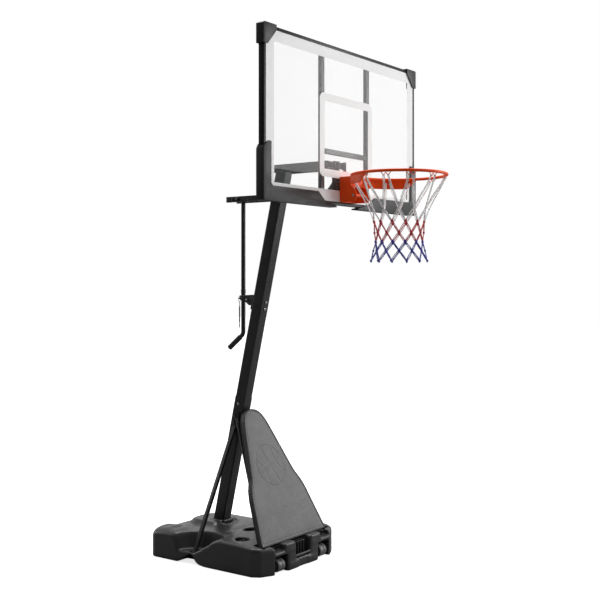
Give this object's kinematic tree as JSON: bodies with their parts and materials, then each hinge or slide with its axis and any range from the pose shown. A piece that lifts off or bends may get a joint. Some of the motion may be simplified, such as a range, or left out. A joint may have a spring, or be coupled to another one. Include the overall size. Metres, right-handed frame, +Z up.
{
  "type": "basketball_hoop",
  "caption": "Portable basketball hoop with a wheeled ballast base, leaning pole, lift handle, parallel arms, clear backboard and break-away rim",
  "frame": {"origin": "on the floor under the middle of the base", "axes": "+Z up, the rim faces -Y, the lift handle is on the +Y side, +X is to the right seen from behind the hoop's left"},
  "size_m": [1.378, 1.599, 2.668],
  "materials": {
    "base_plastic": "blow moulded dark grey polyethylene with a fine grain",
    "wheel_plastic": "grey moulded plastic wheels",
    "bright_steel": "zinc plated fasteners, axles and spring",
    "black_steel": "black powder coated steel tube, slightly textured",
    "frame_black": "black powder coated board frame",
    "corner_plastic": "black moulded corner pieces",
    "pad_cover": "grey coated cover over foam with a light seam line",
    "backing_board": "black backing sheet",
    "grip_rubber": "black rubber",
    "clear_panel": "clear panel printed with a white border and target square",
    "rim_orange": "orange red powder coat",
    "net_cord": "braided cord, white above, red and blue bands below"
  },
  "bodies": {
    "stand": {"base_tank": "base_plastic", "wheel_axles": "bright_steel", "pole_lower": "black_steel", "pole_upper": "black_steel", "pole_cap": "corner_plastic", "pole_bolts": "bright_steel", "side_strut_left": "black_steel", "side_strut_right": "black_steel", "front_strut_left": "black_steel", "front_strut_right": "black_steel", "strut_bolts": "bright_steel", "pad_backing": "backing_board", "front_pad": "pad_cover", "handle_fork": "black_steel", "fork_bolts": "bright_steel", "pole_pivot_bolts": "bright_steel"},
    "fill_cap_body": {"fill_cap": "base_plastic"},
    "left_wheel": {"wheel_left": "wheel_plastic"},
    "right_wheel": {"wheel_right": "wheel_plastic"},
    "lower_arms": {"lower_arm_left": "black_steel", "lower_arm_right": "black_steel", "handle_pivot_bolt": "bright_steel", "handle_spacers": "black_steel", "lever_end_bolt": "bright_steel"},
    "upper_arms": {"upper_arm_left": "black_steel", "upper_arm_right": "black_steel"},
    "handle": {"handle_rod": "black_steel", "handle_collar": "grip_rubber", "handle_grip": "grip_rubber"},
    "hanging_pin": {"lock_pin": "bright_steel", "pin_sleeve": "grip_rubber", "pin_ring": "bright_steel"},
    "board": {"backboard_panel": "clear_panel", "frame_top_rail": "frame_black", "frame_bottom_rail": "frame_black", "frame_left_rail": "frame_black", "frame_right_rail": "frame_black", "corner_cap_left": "corner_plastic", "corner_cap_right": "corner_plastic", "corner_pad_left": "corner_plastic", "corner_pad_right": "corner_plastic", "support_left": "black_steel", "support_right": "black_steel", "upper_crossbar": "black_steel", "lower_crossbar": "black_steel", "board_bracket": "black_steel", "board_pivot_bolts": "bright_steel", "rim_bracket": "rim_orange", "rim_bolts": "bright_steel", "rim_hinge_pin": "bright_steel", "rim_spring_rod": "bright_steel", "rim_spring": "bright_steel"},
    "rim": {"rim_neck": "rim_orange", "rim_ring": "rim_orange", "rim_brace": "rim_orange", "net_hooks": "rim_orange", "net": "net_cord"}
  },
  "joints": [
    {"name": "lift", "type": "hinge", "parent": "stand", "child": "lower_arms", "pos_m": [0, -0.23004, 1.935], "axis": [-1, 0, 0], "range_deg": [-10, 40]},
    {"name": "board_level", "type": "hinge", "parent": "lower_arms", "child": "board", "pos_m": [0, -0.57204, 1.935], "axis": [-1, 0, 0], "range_deg": [-41, 11]},
    {"name": "upper_arm_pivot", "type": "hinge", "parent": "stand", "child": "upper_arms", "pos_m": [0, -0.26355, 2.082], "axis": [-1, 0, 0], "range_deg": [-11, 41]},
    {"name": "handle_swing", "type": "hinge", "parent": "lower_arms", "child": "handle", "pos_m": [0, 0.01996, 1.935], "axis": [-1, 0, 0], "range_deg": [-46, 12]},
    {"name": "rim_flex", "type": "hinge", "parent": "board", "child": "rim", "pos_m": [0, -0.741, 1.917], "axis": [1, 0, 0], "range_deg": [0, 12], "stiffness_Nm_per_rad": 300, "springref_deg": -8.59, "deforming": ["rim_spring"]},
    {"name": "left_wheel_spin", "type": "hinge", "parent": "stand", "child": "left_wheel", "pos_m": [-0.184, -0.357, 0.039], "axis": [1, 0, 0], "continuous": true},
    {"name": "right_wheel_spin", "type": "hinge", "parent": "stand", "child": "right_wheel", "pos_m": [0.184, -0.357, 0.039], "axis": [1, 0, 0], "continuous": true},
    {"name": "fill_cap_turn", "type": "hinge", "parent": "stand", "child": "fill_cap_body", "pos_m": [-0.24, -0.17, 0.1285], "axis": [0, 0, 1], "continuous": true},
    {"name": "pin_swing", "type": "hinge", "parent": "stand", "child": "hanging_pin", "pos_m": [-0.023, 0.027, 1.397], "axis": [1, 0, 0], "range_deg": [-15, 80]}
  ],
  "couplings": [
    {"joint": "board_level", "follows": "lift", "ratio": -1},
    {"joint": "upper_arm_pivot", "follows": "lift", "ratio": 1},
    {"joint": "handle_swing", "follows": "lift", "ratio": -1.13}
  ]
}
